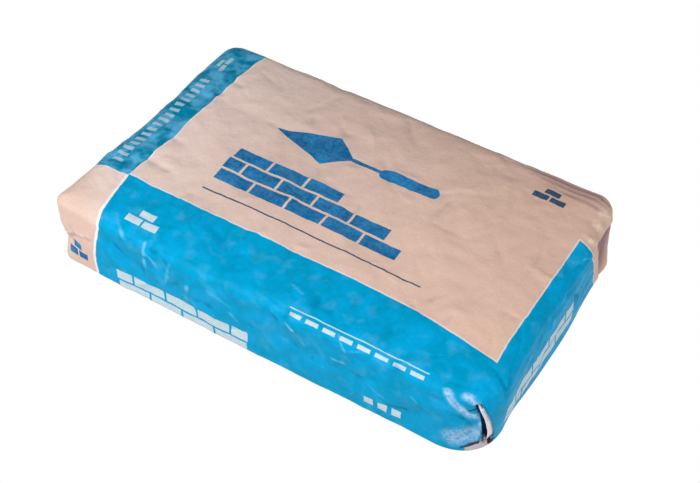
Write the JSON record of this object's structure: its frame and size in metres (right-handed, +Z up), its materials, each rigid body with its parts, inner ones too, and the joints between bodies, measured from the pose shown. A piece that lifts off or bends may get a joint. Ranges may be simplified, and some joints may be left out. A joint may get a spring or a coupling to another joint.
{
  "type": "cement bag",
  "caption": "Filled kraft paper valve sack of cement, lying flat, with glued block ends, printed blue bands and a filling valve pressed shut at one corner.",
  "frame": {"origin": "under the middle of the sack's reach, on the ground it lies on", "axes": "+X along the sack to its valve end, +Y to the long side away from the valve, +Z up out of the top panel"},
  "size_m": [0.6724, 0.412, 0.132],
  "materials": {
    "sack_paper": "matt kraft sack paper with bands of satin blue flexographic print",
    "valve_paper": "matt unprinted kraft paper, scuffed at its edge"
  },
  "bodies": {
    "root": {"sack": "sack_paper", "valve_sleeve": "valve_paper"}
  },
  "joints": []
}
